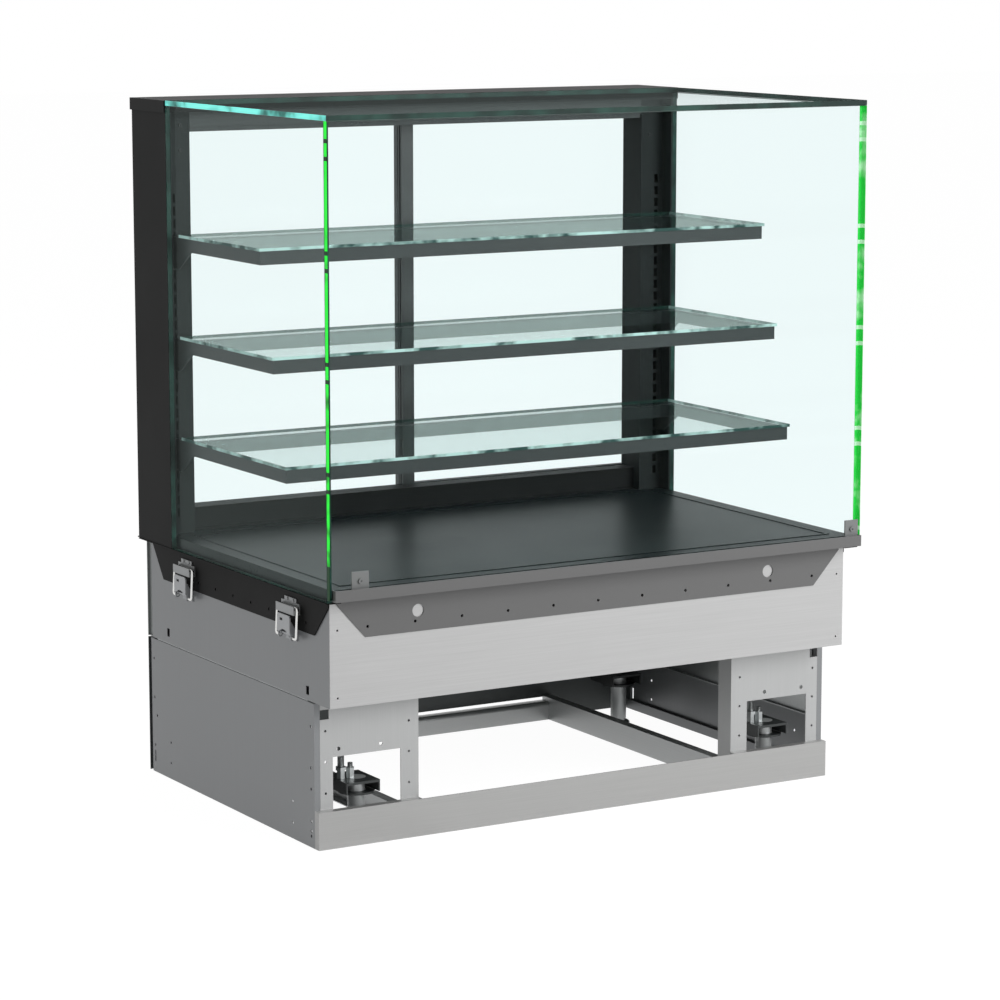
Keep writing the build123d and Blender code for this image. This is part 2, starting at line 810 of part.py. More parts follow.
def latch_base(y):
    px, pz = pivot_place()
    part = box((out(0), out(latch_sheet)), (y - latch_plate_half, y + latch_plate_half), latch_plate_z)
    for end in (-1, 1):
        ys = (y + end * ear_y, y + end * (ear_y - latch_sheet))
        part += rod_y(px, ys, pz, ear_radius)
        part += box((out(0.5), px), ys, (pz - ear_stem, pz + ear_stem))
    part += rod_y(px, (y - lever_half - 1, y + lever_half + 1), pz, pin_radius)
    for end in (-1, 1):
        part += rod_x((out(latch_sheet) - 0.5, out(latch_sheet) + 1.5), y + end * 10, latch_plate_z[0] + 5, 3)
    return part


def latch_lever(y):
    px, pz = pivot_place()
    qx, qz = loop_pin_place()
    web = box((out(lever_out), out(lever_out + latch_sheet)), (y - lever_half, y + lever_half),
              (pz + lever_start, lever_top))
    web = fillet(web.edges().filter_by(Axis.X).group_by(Axis.Z)[-1], 6)
    web -= rod_x((out(lever_out) - 1, out(lever_out) + 5), y, pz - lever_arch_drop, lever_arch)
    web -= box((out(lever_out) - 1, out(lever_out) + 5), (y + 4, y + 15), (lever_top - 13, lever_top - 8))
    part = web
    for end in (-1, 1):
        ys = sorted((y + end * lever_half, y + end * (lever_half - latch_sheet)))
        cheek = prism_y([(px - 4.8, pz), (px - 4.8, pz + 10), (out(lever_out) - 2, lever_top - 12),
                         (out(lever_out + 1), lever_top - 12), (out(lever_out + 1), pz + lever_start),
                         (qx + 4.8, qz)], ys)
        cheek += rod_y(px, ys, pz, 4.8)
        cheek += rod_y(qx, ys, qz, 5.0)
        cheek += box((px - 4.8, qx + 4.8), ys, (qz, pz))
        part += cheek
    part -= rod_y(px, (y - lever_half - 2, y + lever_half + 2), pz, pin_radius + 0.05)
    part -= rod_y(qx, (y - lever_half - 2, y + lever_half + 2), qz, wire_radius + 0.05)
    return part


def latch_loop(y):
    qx, qz = loop_pin_place()
    bend = 5.0
    inner = lever_half - latch_sheet - 0.5
    bottom = qz
    top_x, top_z = out(bar_out), bar_z
    path = FilletPolyline((qx, y - inner, bottom), (qx, y - loop_half, bottom), (top_x, y - loop_half, top_z),
                          (top_x, y + loop_half, top_z), (qx, y + loop_half, bottom), (qx, y + inner, bottom),
                          radius=bend)
    start = Plane(origin=path @ 0, z_dir=path % 0)
    return sweep(start * Circle(wire_radius), path=path)


def latch_keeper(y):
    """Hook block on the skirt with a narrower plate above it."""
    wall = side_skirt_out
    outer = out(keeper_out)
    outline = [(wall, keeper_bottom), (outer, keeper_bottom), (outer, keeper_floor + keeper_lip),
               (outer - 2, keeper_floor + keeper_lip), (outer - 2, keeper_floor), (wall + 2, keeper_floor),
               (wall + 2, keeper_shoulder), (wall, keeper_shoulder)]
    part = prism_y(outline, (y - keeper_half, y + keeper_half))
    middle = (y - keeper_middle, y + keeper_middle)
    return part + box((wall, wall + 2), middle, (keeper_shoulder - 1, keeper_top))


def keeper_screws():
    found = []
    level = (keeper_shoulder + keeper_top) / 2
    for row in latch_places:
        for end in (-1, 1):
            y = row + end * keeper_middle / 2
            found.append(rod_x((side_skirt_out + 2, side_skirt_out + 3.5), y, level, 3))
    return found


def post_fasteners():
    """The dark round heads at the top of the two posts."""
    found = []
    for side in (-1, 1):
        for level in post_screws:
            head = rod_y(side * post_screw_x, (post_face - 2.2, post_face), level, post_screw_radius)
            found.append(head - rod_y(side * post_screw_x, (post_face - 3, post_face - 1.2), level, 1.8))
    return found


pieces = {}


def add(name, shape):
    solids = shape if isinstance(shape, list) else list(shape.solids())
    moved = [Pos(0, -origin_y, 0) * s for s in solids]
    result = moved[0] if len(moved) == 1 else Compound(children=moved)
    pieces[name] = result
    os.makedirs("parts", exist_ok=True)
    export_step(result, "parts/" + name + ".step")


for label, sign in (("left", -1), ("right", 1)):
    add("base_side_" + label, base_side(sign))
    add("bay_panel_" + label, bay_panel(sign))
    add("inner_rail_" + label, inner_rail(sign))
    add("band_" + label, band_side(sign))
    add("side_apron_" + label, side_apron(sign))
    add("glass_" + label, glass_side(sign))
    add("post_" + label, post(sign))
    add("door_frame_" + label, door_frame(sign))
    add("door_pane_" + label, door_pane(sign))
    for where, row in zip(("front", "rear"), latch_places):
        lever, loop = latch_lever(row), latch_loop(row)
        add("latch_lever_" + label + "_" + where, lever if sign > 0 else flip(lever))
        add("latch_loop_" + label + "_" + where, loop if sign > 0 else flip(loop))
    for where, row in zip(("front", "rear"), leg_places):
        add("levelling_foot_" + label + "_" + where, levelling_foot(sign * leg_x, row))

add("kick_band", kick_band())
add("rear_rail", rear_rail())
add("rear_base_panel", rear_base_panel())
add("side_stiffeners", [stiffener(-1), stiffener(1)])
add("leveller_brackets", [leveller_bracket(s, y) for s in (-1, 1) for y in leg_places])
add("leveller_rods", leveller_rods())
add("leveller_nuts", leveller_nuts())
add("body_pan", body_pan())
add("band_front", band_front())
add("band_rear", band_rear())
add("front_apron", front_apron())
add("deck", deck())
add("glass_top", glass_top())
add("glass_front", glass_front())
add("glass_clamps", glass_clamps())
add("header", header())
add("top_cap", top_cap())
add("sill", sill())
add("door_track_bottom", track(True))
add("door_track_top", track(False))
for number, place in enumerate(("bottom", "middle", "top")[:shelf_count]):
    add("shelf_frame_" + place, shelf_frame(number))
    add("shelf_glass_" + place, shelf_pane(number))
bases = [latch_base(y) for y in latch_places]
keepers = [latch_keeper(y) for y in latch_places] + keeper_screws()
add("latch_bases", bases + [flip(b) for b in bases])
add("latch_keepers", keepers + [flip(k) for k in keepers])
add("post_screws", post_fasteners())
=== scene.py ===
"""Ambient display case: looks, light and camera over the CAD frame."""

import json
import logging
import math
from dataclasses import dataclass
from enum import Enum

import bmesh
import bpy
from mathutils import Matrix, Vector

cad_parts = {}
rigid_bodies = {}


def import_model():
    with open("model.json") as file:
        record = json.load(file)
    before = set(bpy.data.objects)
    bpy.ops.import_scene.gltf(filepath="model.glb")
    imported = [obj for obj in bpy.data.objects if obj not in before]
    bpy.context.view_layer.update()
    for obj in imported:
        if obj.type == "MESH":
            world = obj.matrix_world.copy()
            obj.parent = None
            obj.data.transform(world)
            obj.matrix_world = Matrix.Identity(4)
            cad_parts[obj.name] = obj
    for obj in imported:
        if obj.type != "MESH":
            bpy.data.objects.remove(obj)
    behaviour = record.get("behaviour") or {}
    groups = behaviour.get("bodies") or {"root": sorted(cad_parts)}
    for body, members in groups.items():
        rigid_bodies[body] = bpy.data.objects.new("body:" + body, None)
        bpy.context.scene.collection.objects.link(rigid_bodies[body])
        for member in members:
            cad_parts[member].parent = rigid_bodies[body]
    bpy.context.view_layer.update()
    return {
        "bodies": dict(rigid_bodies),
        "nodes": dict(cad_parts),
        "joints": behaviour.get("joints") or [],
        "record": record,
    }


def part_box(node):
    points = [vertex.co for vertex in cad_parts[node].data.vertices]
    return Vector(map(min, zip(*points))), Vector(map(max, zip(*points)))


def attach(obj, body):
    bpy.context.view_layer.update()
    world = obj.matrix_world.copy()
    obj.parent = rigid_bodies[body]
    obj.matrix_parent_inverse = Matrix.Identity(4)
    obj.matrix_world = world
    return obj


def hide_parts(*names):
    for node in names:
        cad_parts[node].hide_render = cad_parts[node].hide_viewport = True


LOG = logging.getLogger("display_case")
MM = 0.001  # one millimetre in metres
X, Y, Z = range(3)
WHITE = (1.0, 1.0, 1.0, 1.0)
# Sockets of a Mix node that blends colours.
MIX_FIRST, MIX_SECOND, MIX_RESULT = 6, 7, 2
# From the front face of the case to the shared origin.
ORIGIN_Y = 417.5 * MM
# Where the painted reflection of the shelves falls on the glass edges: the top of the lowest one, the
# step from one to the next, how far each dark line lies from a shelf's top, and half the height of such a
# line.
SHELF_LEVEL = 715.5 * MM
SHELF_PITCH = 203.2 * MM
RAIL_DISTANCE = 16.0 * MM
RAIL_LINE = 4.0 * MM
CORNERS = ("left_front", "left_rear", "right_front", "right_rear")
# A streak of brushed sheet is so many times longer than it is wide.
STREAK_LENGTH = 90.0
# A face whose normal lies along a pane's thickness by more than this is the sheet and no edge.
SHEET_FACE = 0.95


def linear(hex_colour: str) -> tuple[float, float, float, float]:
    """Turn an sRGB hex value to the linear colour that the shaders take.

    Args:
        hex_colour: Six hex digits, with or without a hash sign.

    Returns:
        Linear red, green, blue and an alpha of one.
    """
    digits = hex_colour.lstrip("#")
    values = [int(digits[i:i + 2], 16) / 255 for i in (0, 2, 4)]
    made = [v / 12.92 if v <= 0.04045 else ((v + 0.055) / 1.055) ** 2.4 for v in values]
    return made[0], made[1], made[2], 1.0


def scaled(colour: tuple[float, ...], factor: float) -> tuple[float, float, float, float]:
    """Make a linear colour darker or brighter.

    Args:
        colour: Linear red, green, blue and alpha.
        factor: What the three colours are multiplied by; none gets brighter than one.

    Returns:
        The new colour with an alpha of one.
    """
    red, green, blue = (min(1.0, c * factor) for c in colour[:3])
    return red, green, blue, 1.0


def add_node(tree: bpy.types.NodeTree, kind: str, settings: dict | None = None,
             inputs: dict | None = None) -> bpy.types.Node:
    """Add one shader node with its settings, its values and its links.

    Args:
        tree: The node tree that gets the node.
        kind: Blender's name of the node type.
        settings: Attributes to set on the node.
        inputs: Socket name or number to a value, or to an output socket to link from.

    Returns:
        The new node.
    """
    node = tree.nodes.new(kind)
    for name, value in (settings or {}).items():
        setattr(node, name, value)
    for name, value in (inputs or {}).items():
        if isinstance(value, bpy.types.NodeSocket):
            tree.links.new(value, node.inputs[name])
        else:
            node.inputs[name].default_value = value
    return node


def blank_material(name: str) -> tuple[bpy.types.Material, bpy.types.NodeTree, bpy.types.Node]:
    """Make an empty node material.

    Args:
        name: The material's name.

    Returns:
        The material, its tree and its output node.
    """
    material = bpy.data.materials.new(name)
    material.use_nodes = True
    tree = material.node_tree
    tree.nodes.clear()
    return material, tree, add_node(tree, "ShaderNodeOutputMaterial")


class Grain(Enum):
    """The axis along which a brushed sheet was drawn through the belt."""

    ACROSS = X
    DEEP = Y
    UPRIGHT = Z


@dataclass(frozen=True)
class BrushedStainless:
    """Stainless sheet with a belt-brushed grain: fine streaks along one direction, soft wide highlights."""

    name: str
    colour: str
    grain: Grain = Grain.ACROSS
    roughness: float = 0.38
    polished: float = 0.05
    dulled: float = 0.07
    metallic: float = 0.85
    streak_mm: float = 2.2
    contrast: float = 0.10
    bump: float = 0.05
    bump_mm: float = 0.2

    def make(self) -> bpy.types.Material:
        """Build the material.

        Returns:
            The material.
        """
        material, tree, output = blank_material(self.name)
        place = add_node(tree, "ShaderNodeTexCoord")
        # Streaks of a real belt are about 0.1 mm; they are drawn coarser so that they show at all.
        width = self.streak_mm * MM
        stretch = [1.0 / width] * 3
        stretch[self.grain.value] = 1.0 / STREAK_LENGTH / width
        belt = add_node(tree, "ShaderNodeMapping", {}, {"Vector": place.outputs["Object"], "Scale": stretch})
        streaks = add_node(tree, "ShaderNodeTexNoise", {},
                           {"Vector": belt.outputs[0], "Scale": 1.0, "Detail": 3.0, "Roughness": 0.6})
        base = linear(self.colour)
        mixed = add_node(tree, "ShaderNodeMix", {"data_type": "RGBA"},
                         {"Factor": streaks.outputs["Fac"], MIX_FIRST: scaled(base, 1 - self.contrast),
                          MIX_SECOND: scaled(base, 1 + self.contrast)})
        wear = add_node(tree, "ShaderNodeMapRange", {},
                        {"Value": streaks.outputs["Fac"], "To Min": self.roughness - self.polished,
                         "To Max": self.roughness + self.dulled})
        bump = add_node(tree, "ShaderNodeBump", {},
                        {"Strength": self.bump, "Distance": self.bump_mm * MM,
                         "Height": streaks.outputs["Fac"]})
        shader = add_node(tree, "ShaderNodeBsdfPrincipled", {},
                          {"Base Color": mixed.outputs[MIX_RESULT], "Metallic": self.metallic,
                           "Roughness": wear.outputs[0], "Normal": bump.outputs[0]})
        tree.links.new(shader.outputs[0], output.inputs["Surface"])
        return material


@dataclass(frozen=True)
class PowderCoat:
    """Baked powder coat on sheet steel: even colour with a faint orange-peel skin.

    A mirrored pair of parts can have painted shade: a darker colour on the skin farthest from the middle.
    """

    name: str
    colour: str
    roughness: float = 0.5
    polished: float = 0.04
    dulled: float = 0.05
    peel_mm: float = 1.2
    cloud_mm: float = 166.67
    bump: float = 0.06
    bump_mm: float = 0.3
    specular: float = 0.5
    index: float = 1.5
    outer_shade: str = ""
    outer_shade_from: float = 0.0

    def make(self) -> bpy.types.Material:
        """Build the material.

        Returns:
            The material.
        """
        material, tree, output = blank_material(self.name)
        place = add_node(tree, "ShaderNodeTexCoord")
        peel = add_node(tree, "ShaderNodeTexNoise", {},
                        {"Vector": place.outputs["Object"], "Scale": 1.0 / (self.peel_mm * MM),
                         "Detail": 2.0})
        cloud = add_node(tree, "ShaderNodeTexNoise", {},
                         {"Vector": place.outputs["Object"], "Scale": 1.0 / (self.cloud_mm * MM),
                          "Detail": 3.0})
        wear = add_node(tree, "ShaderNodeMapRange", {},
                        {"Value": cloud.outputs["Fac"], "To Min": self.roughness - self.polished,
                         "To Max": self.roughness + self.dulled})
        bump = add_node(tree, "ShaderNodeBump", {},
                        {"Strength": self.bump, "Distance": self.bump_mm * MM,
                         "Height": peel.outputs["Fac"]})
        shader = add_node(tree, "ShaderNodeBsdfPrincipled", {},
                          {"Base Color": linear(self.colour), "Roughness": wear.outputs[0],
                           "Specular IOR Level": self.specular, "IOR": self.index,
                           "Normal": bump.outputs[0]})
        if self.outer_shade:
            self.paint_outer_shade(tree, place, shader)
        tree.links.new(shader.outputs[0], output.inputs["Surface"])
        return material

    def paint_outer_shade(self, tree: bpy.types.NodeTree, place: bpy.types.Node,
                       shader: bpy.types.Node) -> None:
        """Paint shade on the outermost skin of a mirrored pair of parts as a darker colour.

        Args:
            tree: The material's node tree.
            place: Its Texture Coordinate node.
            shader: Its Principled BSDF node.
        """
        parts = add_node(tree, "ShaderNodeSeparateXYZ", {}, {"Vector": place.outputs["Object"]})
        away = add_node(tree, "ShaderNodeMath", {"operation": "ABSOLUTE"}, {0: parts.outputs["X"]})
        outside = add_node(tree, "ShaderNodeMath", {"operation": "GREATER_THAN"},
                           {0: away.outputs[0], 1: self.outer_shade_from})
        # Painted shade: the outer skin takes the darker colour.
        coat = add_node(tree, "ShaderNodeMix", {"data_type": "RGBA"},
                        {"Factor": outside.outputs[0], MIX_FIRST: linear(self.colour),
                         MIX_SECOND: linear(self.outer_shade)})
        tree.links.new(coat.outputs[MIX_RESULT], shader.inputs["Base Color"])


@dataclass(frozen=True)
class PlatedSteel:
    """Zinc or nickel plate on small steel parts: bright, slightly cloudy from the bath."""

    name: str
    colour: str
    roughness: float = 0.25
    metallic: float = 1.0
    polished: float = 0.05
    dulled: float = 0.08
    cloud_mm: float = 8.3333
    cloud_shade: float = 0.86

    def make(self) -> bpy.types.Material:
        """Build the material.

        Returns:
            The material.
        """
        material, tree, output = blank_material(self.name)
        place = add_node(tree, "ShaderNodeTexCoord")
        cloud = add_node(tree, "ShaderNodeTexNoise", {},
                         {"Vector": place.outputs["Object"], "Scale": 1.0 / (self.cloud_mm * MM),
                          "Detail": 4.0})
        base = linear(self.colour)
        mixed = add_node(tree, "ShaderNodeMix", {"data_type": "RGBA"},
                         {"Factor": cloud.outputs["Fac"], MIX_FIRST: scaled(base, self.cloud_shade),
                          MIX_SECOND: base})
        wear = add_node(tree, "ShaderNodeMapRange", {},
                        {"Value": cloud.outputs["Fac"], "To Min": self.roughness - self.polished,
                         "To Max": self.roughness + self.dulled})
        shader = add_node(tree, "ShaderNodeBsdfPrincipled", {},
                          {"Base Color": mixed.outputs[MIX_RESULT], "Metallic": self.metallic,
                           "Roughness": wear.outputs[0]})
        tree.links.new(shader.outputs[0], output.inputs["Surface"])
        return material


@dataclass(frozen=True)
class CollaredSteel:
    """Dark bracket steel with a bare turned sleeve, which catches the light, at each levelling foot.

    The four feet stand in two columns at foot_x either side of the middle, and in two rows at row_y
    either side of middle_y.
    """

    name: str
    colour: str
    collar: str
    foot_x: float = 474.0 * MM
    middle_y: float = 5.0 * MM
    row_y: float = 277.5 * MM
    reach: float = 18.5 * MM
    roughness: float = 0.42
    polished: float = 0.06
    dulled: float = 0.08
    metallic: float = 0.5
    cloud_mm: float = 11.111

    def make(self) -> bpy.types.Material:
        """Build the material.

        Returns:
            The material.
        """
        material, tree, output = blank_material(self.name)
        place = add_node(tree, "ShaderNodeTexCoord")
        parts = add_node(tree, "ShaderNodeSeparateXYZ", {}, {"Vector": place.outputs["Object"]})
        across = self.off_centre(tree, parts.outputs["X"], 0.0, self.foot_x)
        along = self.off_centre(tree, parts.outputs["Y"], self.middle_y, self.row_y)
        flat = add_node(tree, "ShaderNodeCombineXYZ", {}, {"X": across.outputs[0], "Y": along.outputs[0]})
        away = add_node(tree, "ShaderNodeVectorMath", {"operation": "LENGTH"}, {0: flat.outputs[0]})
        near = add_node(tree, "ShaderNodeMath", {"operation": "LESS_THAN"},
                        {0: away.outputs["Value"], 1: self.reach})
        mixed = add_node(tree, "ShaderNodeMix", {"data_type": "RGBA"},
                         {"Factor": near.outputs[0], MIX_FIRST: linear(self.colour),
                          MIX_SECOND: linear(self.collar)})
        cloud = add_node(tree, "ShaderNodeTexNoise", {},
                         {"Vector": place.outputs["Object"], "Scale": 1.0 / (self.cloud_mm * MM)})
        wear = add_node(tree, "ShaderNodeMapRange", {},
                        {"Value": cloud.outputs["Fac"], "To Min": self.roughness - self.polished,
                         "To Max": self.roughness + self.dulled})
        shader = add_node(tree, "ShaderNodeBsdfPrincipled", {},
                          {"Base Color": mixed.outputs[MIX_RESULT], "Metallic": self.metallic,
                           "Roughness": wear.outputs[0]})
        tree.links.new(shader.outputs[0], output.inputs["Surface"])
        return material

    @staticmethod
    def off_centre(tree: bpy.types.NodeTree, value: bpy.types.NodeSocket, middle: float,
                   centre: float) -> bpy.types.Node:
        """Tell how far a coordinate is from the nearer of two mirrored centres.

        Args:
            tree: The material's node tree.
            value: The coordinate.
            middle: Where the mirror between the two centres stands.
            centre: How far each centre is from that mirror.

        Returns:
            The node whose output is that distance.
        """
        moved = add_node(tree, "ShaderNodeMath", {"operation": "SUBTRACT"}, {0: value, 1: middle})
        folded = add_node(tree, "ShaderNodeMath", {"operation": "ABSOLUTE"}, {0: moved.outputs[0]})
        return add_node(tree, "ShaderNodeMath", {"operation": "SUBTRACT"}, {0: folded.outputs[0], 1: centre})


@dataclass(frozen=True)
class ThreadedSteel:
    """Plated steel with a cut thread: fine dark and bright turns above the plain foot; the dark is painted
    shade in the grooves.
    """

    name: str
    colour: str
    pitch_mm: float = 2.0
    plain_below: float = 14.0 * MM
    painted_groove_shade: float = 0.35
    roughness: float = 0.32
    metallic: float = 0.9
    bump: float = 0.6
    bump_mm: float = 0.6

    def make(self) -> bpy.types.Material:
        """Build the material.

        Returns:
            The material.
        """
        material, tree, output = blank_material(self.name)
        place = add_node(tree, "ShaderNodeTexCoord")
        parts = add_node(tree, "ShaderNodeSeparateXYZ", {}, {"Vector": place.outputs["Object"]})
        turns = add_node(tree, "ShaderNodeMath", {"operation": "MULTIPLY"},
                         {0: parts.outputs["Z"], 1: 2 * math.pi / (self.pitch_mm * MM)})
        wave = add_node(tree, "ShaderNodeMath", {"operation": "SINE"}, {0: turns.outputs[0]})
        cut = add_node(tree, "ShaderNodeMath", {"operation": "GREATER_THAN"},
                       {0: parts.outputs["Z"], 1: self.plain_below})
        depth = add_node(tree, "ShaderNodeMath", {"operation": "MULTIPLY"},
                         {0: wave.outputs[0], 1: cut.outputs[0]})
        shade = add_node(tree, "ShaderNodeMapRange", {}, {"Value": depth.outputs[0], "From Min": -1.0})
        base = linear(self.colour)
        # Painted shade: the grooves of the thread are darker.
        mixed = add_node(tree, "ShaderNodeMix", {"data_type": "RGBA"},
                         {"Factor": shade.outputs[0], MIX_FIRST: scaled(base, self.painted_groove_shade),
                          MIX_SECOND: base})
        bump = add_node(tree, "ShaderNodeBump", {},
                        {"Strength": self.bump, "Distance": self.bump_mm * MM, "Height": depth.outputs[0]})
        shader = add_node(tree, "ShaderNodeBsdfPrincipled", {},
                          {"Base Color": mixed.outputs[MIX_RESULT], "Metallic": self.metallic,
                           "Roughness": self.roughness, "Normal": bump.outputs[0]})
        tree.links.new(shader.outputs[0], output.inputs["Surface"])
        return material


@dataclass(frozen=True)
class FloatGlass:
    """Clear float glass: a thin sheet that shifts nothing behind it, with a mirror that grows at a slant."""

    name: str
    mirror: str
    index: float
    tint: str = "#FBFEFE"

    def make(self) -> bpy.types.Material:
        """Build the material.

        Returns:
            The material.
        """
        material, tree, output = blank_material(self.name)
        passing = add_node(tree, "ShaderNodeBsdfTransparent", {}, {"Color": linear(self.tint)})
        shine = add_node(tree, "ShaderNodeBsdfGlossy", {}, {"Color": linear(self.mirror), "Roughness": 0.0})
        # The far skin of the sheet is met from inside, where the plain rule would turn it into a full mirror.
        side = add_node(tree, "ShaderNodeNewGeometry")
        bend = add_node(tree, "ShaderNodeMapRange", {},
                        {"Value": side.outputs["Backfacing"], "To Min": self.index, "To Max": 1 / self.index})
        share = add_node(tree, "ShaderNodeFresnel", {}, {"IOR": bend.outputs[0]})
        both = add_node(tree, "ShaderNodeMixShader", {},
                        {0: share.outputs[0], 1: passing.outputs[0], 2: shine.outputs[0]})
        tree.links.new(both.outputs[0], output.inputs["Surface"])
        return material


@dataclass(frozen=True)
class GlassEdge:
    """Ground edge of float glass: the light piped through the sheet comes out there as a green glow.

    The glow is painted light that the edge emits. It is broken along the edge as a painted reflection,
    because each stretch looks into another part of the case. It shows where the pattern is above bias;
    between is the colour of the rest. The pattern falls with lean towards the right of the case and
    grows with rise upwards. With rails set, the glow is also cut by two lines at each shelf, a painted
    reflection of the shelf's dark upper and lower line.
    """

    name: str
    colour: str
    between: str
    glow: float
    roughness: float = 0.3
    specular: float = 0.1
    stretch_mm: float = 90.0
    bias: float = 0.5
    fade: float = 0.09
    lean: float = 0.0
    rise: float = 0.0
    dark_below: float = 0.0
    rails: bool = False

    def make(self) -> bpy.types.Material:
        """Build the material.

        Returns:
            The material.
        """
        material, tree, output = blank_material(self.name)
        place = add_node(tree, "ShaderNodeTexCoord")
        patch = add_node(tree, "ShaderNodeTexNoise", {},
                         {"Vector": place.outputs["Object"], "Scale": 1.0 / (self.stretch_mm * MM),
                          "Detail": 3.0, "Roughness": 0.55})
        parts = add_node(tree, "ShaderNodeSeparateXYZ", {}, {"Vector": place.outputs["Object"]})
        leaned = add_node(tree, "ShaderNodeMath", {"operation": "MULTIPLY_ADD"},
                          {0: parts.outputs["X"], 1: -self.lean, 2: patch.outputs["Fac"]})
        risen = add_node(tree, "ShaderNodeMath", {"operation": "MULTIPLY_ADD"},
                         {0: parts.outputs["Z"], 1: self.rise, 2: leaned.outputs[0]})
        step = add_node(tree, "ShaderNodeMapRange", {"clamp": True},
                        {"Value": risen.outputs[0], "From Min": self.bias - self.fade,
                         "From Max": self.bias + self.fade})
        # Below the deck the edge looks into the closed gap of the skirt, so no painted glow comes out of it.
        above = add_node(tree, "ShaderNodeMath", {"operation": "GREATER_THAN"},
                         {0: parts.outputs["Z"], 1: self.dark_below})
        lit = add_node(tree, "ShaderNodeMath", {"operation": "MULTIPLY"},
                       {0: step.outputs[0], 1: above.outputs[0]})
        if self.rails:
            clear = self.clear_of_rails(tree, parts.outputs["Z"])
            lit = add_node(tree, "ShaderNodeMath", {"operation": "MULTIPLY"},
                           {0: lit.outputs[0], 1: clear.outputs[0]})
        # Painted light: the edge emits this colour as its glow wherever the painted reflection pattern is
        # lit.
        mixed = add_node(tree, "ShaderNodeMix", {"data_type": "RGBA"},
                         {"Factor": lit.outputs[0], MIX_FIRST: linear(self.between),
                          MIX_SECOND: linear(self.colour)})
        shader = add_node(tree, "ShaderNodeBsdfPrincipled", {},
                          {"Base Color": mixed.outputs[MIX_RESULT], "Roughness": self.roughness,
                           "Specular IOR Level": self.specular,
                           "Emission Color": mixed.outputs[MIX_RESULT], "Emission Strength": self.glow})
        tree.links.new(shader.outputs[0], output.inputs["Surface"])
        return material

    @staticmethod
    def clear_of_rails(tree: bpy.types.NodeTree, height: bpy.types.NodeSocket) -> bpy.types.Node:
        """Find the stretches free of the painted reflection of a shelf's dark upper and lower line.

        Args:
            tree: The material's node tree.
            height: The height in the case.

        Returns:
            The node whose output is one away from both lines of every shelf, and zero on them.
        """
        start = add_node(tree, "ShaderNodeMath", {"operation": "SUBTRACT"}, {0: height, 1: SHELF_LEVEL})
        fold = add_node(tree, "ShaderNodeMath", {"operation": "PINGPONG"},
                        {0: start.outputs[0], 1: SHELF_PITCH / 2})
        off = add_node(tree, "ShaderNodeMath", {"operation": "SUBTRACT"},
                       {0: fold.outputs[0], 1: RAIL_DISTANCE})
        away = add_node(tree, "ShaderNodeMath", {"operation": "ABSOLUTE"}, {0: off.outputs[0]})
        return add_node(tree, "ShaderNodeMath", {"operation": "GREATER_THAN"},
                        {0: away.outputs[0], 1: RAIL_LINE})


# Each of these has a name and a make method.
Finish = BrushedStainless | PowderCoat | PlatedSteel | CollaredSteel | ThreadedSteel | FloatGlass | GlassEdge


# Finishes of this case. The deck's enamel and the doors' black anodising are as even as a powder coat.
# The side sheets' darker colour is painted shade of faces turned from the light; the stainless is the same as
# the front's.
SHADED_SIDE_STEEL = BrushedStainless("stainless_side_sheet_brushed_upright_painted_shade", "#888A8C", Grain.UPRIGHT,
                              streak_mm=5.0, contrast=0.07, metallic=0.3)
FRONT_STEEL = BrushedStainless("stainless_front_sheet_brushed_across", "#B8B8B8", Grain.ACROSS, metallic=0.35)
BAY_STEEL = BrushedStainless("stainless_bay_sheet_brushed_upright", "#B2B3B3", Grain.UPRIGHT,
                             contrast=0.05, metallic=0.35)
KICK_STEEL = BrushedStainless("stainless_kick_sheet_brushed_across", "#ACACAB", Grain.ACROSS, metallic=0.35)
RAIL_STEEL = BrushedStainless("stainless_rail_sheet_brushed_deep", "#B2B4B4", Grain.DEEP, metallic=0.6)
INNER_STEEL = PlatedSteel("galvanised_inner_sheet", "#8A8E8D", 0.42, 0.6)
# The rear panel's dark colour is painted shade under the body.
SHADED_REAR_STEEL = PlatedSteel("rear_panel_sheet_painted_shade", "#4E5252", 0.45, 0.4)
STIFFENER_STEEL = PlatedSteel("galvanised_doubler_sheet", "#BFC2C2", 0.3, 0.9)
HOUSING_COAT = PowderCoat("black_housing_powder_coat", "#0B0C0C", 0.6, specular=0.15)
# The posts' darker outer faces are painted shade.
POST_COAT = PowderCoat("charcoal_post_powder_coat", "#242828", 0.58, specular=0.12, outer_shade="#050606",
                       outer_shade_from=602 * MM)
HEADER_COAT = PowderCoat("charcoal_header_powder_coat", "#2C3131", 0.5, specular=0.4)
# The front skirt's grey is painted sheen on the same black coat as the side skirts.
SHEEN_APRON_COAT = PowderCoat("front_skirt_powder_coat_painted_sheen", "#666666", 0.3)
SIDE_COAT = PowderCoat("black_side_skirt_powder_coat", "#0B0B0B", 0.6, specular=0.12)
DECK_COAT = PowderCoat("gloss_deck_enamel", "#141B1C", 0.36, bump=0.0, specular=0.2, index=1.3)
SHELF_COAT = PowderCoat("grey_shelf_rail_powder_coat", "#2E3434", 0.42, specular=0.35)
DOOR_ALUMINIUM = PowderCoat("black_anodised_door_section", "#1E2222", 0.4)
LATCH_STEEL = PlatedSteel("bright_latch_wire", "#E0E0DE", 0.22)
